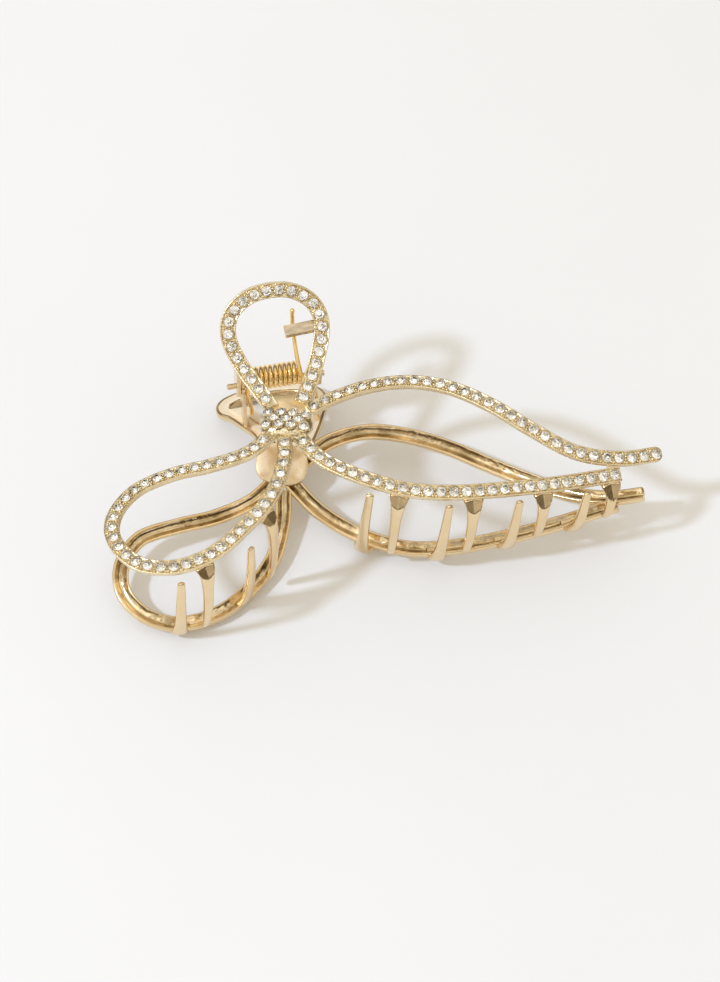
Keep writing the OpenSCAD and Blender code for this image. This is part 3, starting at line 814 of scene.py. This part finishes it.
def back_tooth(x, short, lean):
    h = wing_lift(x, low_y(x))
    t = BACK_T
    profile = [
        [-0.4, h + t - 0.4, ROOT_HALF, 0.35, 0], [1.2, h + t - 0.6, ROOT_HALF, 0.6, 0],
        [2.2, h - 0.4, ROOT_HALF * 0.75, 0.7, 0],
        [REACH - 0.1, h * 0.5, 1.05, 0.7, lean * 0.3],
        [REACH + 0.1, -h * 0.1 + short * 0.3, 0.9, 0.6, lean * 0.6],
        [REACH - 0.2, -h * 0.6 + short * 0.7, 0.78, 0.5, lean * 0.85],
        [REACH - 0.36, -h + 1.3 + short, 0.7, 0.44, lean],
        [REACH - 0.41, -h + 0.85 + short, 0.58, 0.38, lean],
        [REACH - 0.44, -h + 0.6 + short, 0.38, 0.28, lean],
        [REACH - 0.45, -h + 0.5 + short, 0.12, 0.12, lean],
    ]
    return tooth(x, profile, set_in=0.5 if x < 0 else 0)


for i, x in enumerate(FRONT_TEETH, 1):
    node = f"front_tooth_{i}"
    piece("look_" + node, front_tooth(x), "front_jaw", [SATIN], [node], crease=32)
# Teeth that end short of the others: by how many mm, and their lean
SHORT = {5: (4, BACK_LEAN), 6: (2, 0.9)}
for i, x in enumerate(BACK_TEETH, 1):
    node = f"back_tooth_{i}"
    mesh = back_tooth(x, *SHORT.get(i, (0, BACK_LEAN)))
    piece("look_" + node, mesh, "back_jaw", [SATIN], [node], back=True, crease=32)


# ---------------------------------------------------------------- hinge
def hull(points):
    """Convex outline of plane points, anticlockwise."""
    pts = sorted(map(tuple, points))
    halves = []
    for sweep in (pts, pts[::-1]):
        chain = []
        for p in sweep:
            while len(chain) > 1 and (
                (chain[-1][0] - chain[-2][0]) * (p[1] - chain[-2][1])
                - (chain[-1][1] - chain[-2][1]) * (p[0] - chain[-2][0])
            ) <= 0:
                chain.pop()
            chain.append(p)
        halves += chain[:-1]
    return np.array(halves)


def ray_radius(outline, angle):
    """Distance from the pin's axis to a convex outline in a direction."""
    d = np.array([math.cos(angle), math.sin(angle)])
    best = 0.0
    for a, b in zip(outline, np.roll(outline, -1, 0)):
        e = b - a
        det = d[0] * -e[1] + e[0] * d[1]
        if abs(det) < 1e-9:
            continue
        t = (a[0] * -e[1] + e[0] * a[1]) / det
        k = (d[0] * a[1] - d[1] * a[0]) / det
        if t > 0 and -1e-9 <= k <= 1 + 1e-9:
            best = max(best, t)
    return best


EYE_R, EAR_T, PIN_R = 2.1, 0.7, 0.55


def ear(x, lo, hi, lift, drop, bore):
    """Round eye with an arm up to the loop's leg, with broken edges and a real bore."""
    bite = 0.25
    arm = [(hi, lift(0, hi) + bite - drop), (lo, lift(0, lo) + bite - drop)]
    eye = [(EYE_R * math.cos(a), EYE_R * math.sin(a)) for a in np.radians(np.arange(0, 360, 6))]
    outline = hull(eye + arm)
    angles = math.tau * np.arange(120) / 120
    outer = np.array([ray_radius(outline, a) for a in angles])
    e = 0.14
    rows = [
        (bore, e * 0.6), (bore, EAR_T - e * 0.6), (bore + e * 0.6, EAR_T), (outer - e, EAR_T),
        (outer - e * 0.3, EAR_T - e * 0.3), (outer, EAR_T - e), (outer, e),
        (outer - e * 0.3, e * 0.3), (outer - e, 0.0), (bore + e * 0.6, 0.0),
    ]
    rings = []
    for i, a in enumerate(angles):
        rings.append([
            (x + t, (r if np.isscalar(r) else r[i]) * math.cos(a),
             (r if np.isscalar(r) else r[i]) * math.sin(a)) for r, t in rows])
    return Mesh().skin(np.array(rings), loop=True)


EARS = {
    "front_ear_left": (-6.95, -2.6, 1, front_handle_lift, FRONT_SINK, PIN_R + 0.05),
    "front_ear_right": (8.2, -3.6, 0, front_handle_lift, FRONT_SINK, PIN_R + 0.05),
    "back_ear_left": (-6.1, -3.2, -0.4, back_handle_lift, 0, PIN_R + 0.01),
    "back_ear_right": (7.35, -4.4, -1.4, back_handle_lift, 0, PIN_R + 0.01),
}
for node, values in EARS.items():
    back = node.startswith("back")
    piece("look_" + node, ear(*values), "back_jaw" if back else "front_jaw",
          [BRIGHT], [node], back=back, crease=30)


def lathe_x(profile, cols=40):
    """Solid of revolution about X from (x, radius) pairs."""
    a = math.tau * np.arange(cols) / cols
    return [np.column_stack([np.full(cols, x), r * np.cos(a), r * np.sin(a)]) for x, r in profile]


PIN_FROM, PIN_TO = -8.6, 9.8
pin_rings = lathe_x([
    (PIN_FROM, 0.34), (PIN_FROM + 0.03, 0.42), (PIN_FROM + 0.16, PIN_R), (-4, PIN_R), (0, PIN_R),
    (4, PIN_R), (PIN_TO - 0.16, PIN_R), (PIN_TO - 0.03, 0.42), (PIN_TO, 0.34)])
piece("look_hinge_pin", Mesh().skin(pin_rings), "back_jaw", [PIN_METAL],
      ["hinge_pin"], crease=25)

# ---------------------------------------------------------------- spring
TURNS, COIL_R, WIRE_R, COIL_BACK, COIL_FROM, COIL_TO = 12, 1.875, 0.4, 0.95, -4.9, 5.8
LEG_END_R = 0.47
LOWER_LEG = [(-4.1, 0.1, -11.4), (-4.2, -0.1, -9), (-4.6, -0.6, -5), (-4.9, -0.9, -2)]
UPPER_LEG = [(5.2, -0.3, 2), (4.8, 1.4, 6), (4.65, 3.9, 10.6), (4.7, 4.95, 13.2), (4.8, 5.4, 14.9)]
steps = TURNS * 48
a = math.pi - math.tau * TURNS * np.arange(steps + 1) / steps
wobble = np.array([rng.uniform(-0.05, 0.05) for _ in range(TURNS + 2)])
along_coil = np.arange(steps + 1) / steps
coil_x = COIL_FROM + (COIL_TO - COIL_FROM) * along_coil + np.interp(
    along_coil * TURNS, np.arange(TURNS + 2), wobble)
coil = np.column_stack([coil_x, COIL_BACK + COIL_R * np.cos(a), COIL_R * np.sin(a)])
wire = np.vstack([catmull(LOWER_LEG, 10)[:-1], LOWER_LEG[-1:], coil, UPPER_LEG[:1],
                  catmull(UPPER_LEG, 10)[1:]])
d = unit(np.gradient(wire, axis=0))
wa = unit(np.cross(d, [1, 0, 0.02]))
wb = np.cross(d, wa)
turns_round = math.tau * np.arange(14) / 14
spring_rings = (wire[:, None] + WIRE_R * (wa[:, None] * np.cos(turns_round)[None, :, None]
                                          + wb[:, None] * np.sin(turns_round)[None, :, None]))
spring_mesh = Mesh().skin(spring_rings[:, ::-1])
spring_mesh.ball(UPPER_LEG[-1], LEG_END_R, rows=10, cols=18)
spring = piece("look_torsion_spring", spring_mesh, None, [SPRING_METAL],
               ["torsion_spring"])
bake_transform(spring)


# ---------------------------------------------------------------- plates
def plate(outline, t, mat, edge=0.18):
    """Flat plate from a plan outline, with rounded rims; the plan runs anticlockwise."""
    p = np.array(outline, float)
    normal = []
    for i in range(len(p)):
        e0, e1 = unit(p[i] - p[i - 1]), unit(p[(i + 1) % len(p)] - p[i])
        bis = unit(np.array([e0[1] + e1[1], -e0[0] - e1[0]]))
        normal.append(bis / max(0.5, float(bis @ np.array([e1[1], -e1[0]]))))
    normal = np.array(normal)
    rows = [(edge, 0), (edge * 0.3, edge * 0.3), (0, edge), (0, t - edge),
            (edge * 0.3, t - edge * 0.3), (edge, t)]
    rings = [np.column_stack([p - normal * inset, np.full(len(p), z)]) for inset, z in rows]
    return Mesh().skin([carry(mat, r) for r in rings])


web_z = front_handle_lift(0, -9) - FRONT_SINK - 0.52
wave = [(-2.2, -8), (-1.5, -8.15), (-0.6, -7.95), (0.3, -8.3), (1.1, -8.45), (2, -8.2),
        (2.9, -7.95), (3.7, -8.15), (4.4, -8)]
web_rim = [(-1.6, -11.4), (-1, -13.2), (4, -13.4), (4.9, -12.6), (4.8, -10.8)]
WEB_T = 0.9
front_web = plate(web_rim + wave[::-1], WEB_T, np.array(Matrix.Translation((0, 0, web_z))))
piece("look_front_web", front_web, "front_jaw", [BRIGHT], ["front_web"])
back_web_m = np.array(Matrix.Translation((0, -10, back_handle_lift(0, -10)))
                      @ Matrix.Rotation(math.radians(18), 4, "X"))
back_web = plate([(-1.6, 0), (3.2, 0), (6, 3.8), (8, 8.4), (8.3, 9), (-2.6, 9), (-3.2, 13.2),
                  (-8.2, 13.2), (-7.2, 11.7), (-5.3, 8.6), (-3.2, 5.5), (-2.3, 3)], WEB_T,
                 back_web_m)
piece("look_back_web", back_web, "back_jaw", [DISH], ["back_web"], back=True)


def block(size, m, edge):
    """Box with rounded rims, centred on a matrix."""
    x, y, z = (v / 2 for v in size)
    outline = [(-x, -y), (x, -y), (x, y), (-x, y)]
    return plate(outline, size[2], np.array(m @ Matrix.Translation((0, 0, -z))), edge)


BRIDGE_X = 57.4


def bridge(from_y, to_y, drop, link):
    """Short link from the upper to the lower bar near the tail."""
    x = BRIDGE_X
    rise = wing_lift(x, from_y) - wing_lift(x, to_y)
    z = (wing_lift(x, from_y) + wing_lift(x, to_y)) / 2 - drop
    m = (Matrix.Translation((x, (from_y + to_y) / 2, z + link[2] / 2))
         @ Matrix.Rotation(math.atan(rise / (from_y - to_y)), 4, "X"))
    return block(link, m, 0.12)


piece("look_front_bridge", bridge(-30.5, -33.7, FRONT_SINK, (2.2, 1, 0.55)), "front_jaw",
      [PALE], ["front_bridge"])
piece("look_back_bridge", bridge(-31.3, -33.7, 0, (2.2, 1.2, 1)), "back_jaw", [BRIGHT],
      ["back_bridge"], back=True)
tab_m = (Matrix.Translation((5.8, 2.65, 12.7)) @ Matrix.Rotation(math.radians(3), 4, "Z")
         @ Matrix.Rotation(math.radians(8), 4, "X"))
# its darker gold is painted reflection of the dark room
piece("look_spring_tab", block((5.9, 2.1, 1.3), tab_m, 0.14), "front_jaw",
      [TAB_METAL], ["spring_tab"])

# ---------------------------------------------------------------- floor, light and camera
floor_data = bpy.data.meshes.new("floor")
floor_data.from_pydata([(-3, -3, 0), (3, -3, 0), (3, 3, 0), (-3, 3, 0)], [], [(0, 1, 2, 3)])
floor = bpy.data.objects.new("floor", floor_data)
bpy.context.scene.collection.objects.link(floor)
n = Nodes("paper")
drift = n.ramp(n.noise(9, 4), 0.3, 0.7, 0, 1)
paper = n.mix(drift, (0.795, 0.795, 0.80, 1), (0.775, 0.775, 0.78, 1))
shader = n.new("ShaderNodeBsdfPrincipled", Base_Color=paper)
shader.inputs["Roughness"].default_value = 0.9
shader.inputs["Specular IOR Level"].default_value = 0.1
n.tree.links.new(shader.outputs[0], n.out.inputs[0])
floor_data.materials.append(n.mat)

# Key light: from the left, about 49 degrees up, small enough for a soft but readable shadow edge
KEY_DISTANCE = 1.2
centre = (cad_low + cad_high) / 2
key_from = Vector((-0.867, -0.168, 1.0)).normalized()
key_data = bpy.data.lights.new("key", "AREA")
key_data.shape = "DISK"
key_data.size = 0.11
key_data.energy = 7.5
key_data.color = (0.63, 0.75, 0.97)
key = bpy.data.objects.new("key", key_data)
key.location = centre + key_from * KEY_DISTANCE
key.rotation_euler = (-key_from).to_track_quat("-Z", "Y").to_euler()
bpy.context.scene.collection.objects.link(key)

# Room: an even warm fill for the floor and dull surfaces; what the metal and stones mirror is
# bright overhead, dim and brown towards the horizon, with a brighter side to the left and front
world = bpy.data.worlds.new("studio")
bpy.context.scene.world = world
world.use_nodes = True
wt = world.node_tree
wt.nodes.clear()


def join(socket, value):
    if isinstance(value, bpy.types.NodeSocket):
        wt.links.new(value, socket)
    else:
        socket.default_value = value


def room(kind, **sockets):
    node = wt.nodes.new(kind)
    for key_name, value in sockets.items():
        join(node.inputs[key_name.replace("_", " ")], value)
    return node


def maths(operation, *values):
    node = room("ShaderNodeMath")
    node.operation = operation
    for socket, value in zip(node.inputs, values):
        join(socket, value)
    return node.outputs[0]


# How much the height of a direction counts as raised on the left and at the front
LEFT_SHARE, FRONT_SHARE = 0.10, 0.22
# What is mirrored, by that height: low and brown, then dim, then bright overhead
HORIZON, OVERHEAD = (0.36, 0.29, 0.20), (1.14, 1.10, 1.02)
BETWEEN = [
    (0.12, (0.10, 0.07, 0.045)), (0.40, (0.14, 0.11, 0.07)), (0.54, (0.70, 0.64, 0.54)),
    (0.74, (1.14, 1.08, 0.98)),
]
direction = room("ShaderNodeTexCoord").outputs["Generated"]
parts = room("ShaderNodeSeparateXYZ", Vector=direction).outputs
to_left = maths("MULTIPLY_ADD", parts["X"], -LEFT_SHARE, parts["Z"])
raised = maths("MULTIPLY_ADD", parts["Y"], -FRONT_SHARE, to_left)
sky = room("ShaderNodeValToRGB", Fac=raised)
stops = sky.color_ramp.elements
stops[0].position, stops[0].color = 0.0, (*HORIZON, 1)
stops[1].position, stops[1].color = 1.0, (*OVERHEAD, 1)
for position, colour in BETWEEN:
    stops.new(position).color = (*colour, 1)
cells = room("ShaderNodeTexNoise", Vector=direction, Scale=3.2, Detail=2.0)
shade = room("ShaderNodeMapRange", Value=cells.outputs["Fac"])
set_range(shade, 0.38, 0.62, 0.55, 1.15)
fill = room("ShaderNodeBackground", Color=(0.94, 0.88, 0.77, 1), Strength=1.0)
# a faint brighter patch high up at the front left
toward_patch = room("ShaderNodeVectorMath", Vector=direction)
toward_patch.operation = "DOT_PRODUCT"
toward_patch.inputs[1].default_value = Vector((-0.45, -0.35, 0.82)).normalized()
patch = room("ShaderNodeMapRange", Value=toward_patch.outputs["Value"])
set_range(patch, 0.965, 0.98, 0.0, 0.3)
total = maths("ADD", shade.outputs[0], patch.outputs[0])
# the stones see the room a little brighter than the metal does
path = room("ShaderNodeLightPath").outputs
through = room("ShaderNodeMapRange", Value=path["Is Transmission Ray"])
set_range(through, 0.0, 1.0, 1.0, 1.2)
strength = maths("MULTIPLY", total, through.outputs[0])
mirror = room("ShaderNodeBackground", Color=sky.outputs[0], Strength=strength)
sharp = maths("MAXIMUM", path["Is Glossy Ray"], path["Is Transmission Ray"])
pick = room("ShaderNodeMixShader", Fac=sharp)
wt.links.new(fill.outputs[0], pick.inputs[1])
wt.links.new(mirror.outputs[0], pick.inputs[2])
room("ShaderNodeOutputWorld", Surface=pick.outputs[0])

bpy.context.scene.view_settings.view_transform = "Standard"

# Camera: 62 degrees above the closure plane, 11 degrees to the left, through a long lens; it is
# placed in the jaw frame, in mm, and laid down with the part
ELEVATION, AZIMUTH, ROLL = math.radians(62), -0.1921, 0.0143
DISTANCE, AIM = 649.6, Vector((11.85, -25.78, 0))
LENS_MM, SENSOR_MM = 130.2, 36
back = Vector((math.sin(AZIMUTH) * math.cos(ELEVATION), -math.cos(AZIMUTH) * math.cos(ELEVATION),
               math.sin(ELEVATION)))
right = (-back).cross(Vector((0, 0, 1))).normalized()
up = back.cross(right)
right, up = (right * math.cos(ROLL) + up * math.sin(ROLL),
             up * math.cos(ROLL) - right * math.sin(ROLL))
camera_data = bpy.data.cameras.new("camera")
camera_data.lens = LENS_MM
camera_data.sensor_width = SENSOR_MM
camera_data.clip_start = 0.01
camera = bpy.data.objects.new("camera", camera_data)
place = Matrix((right, up, back)).transposed().to_4x4()
place.translation = AIM + back * DISTANCE
turned = LAY @ place
turned = Matrix.LocRotScale(turned.translation, turned.to_quaternion(), (1, 1, 1))
camera.matrix_world = turned
bpy.context.scene.collection.objects.link(camera)
bpy.context.scene.camera = camera
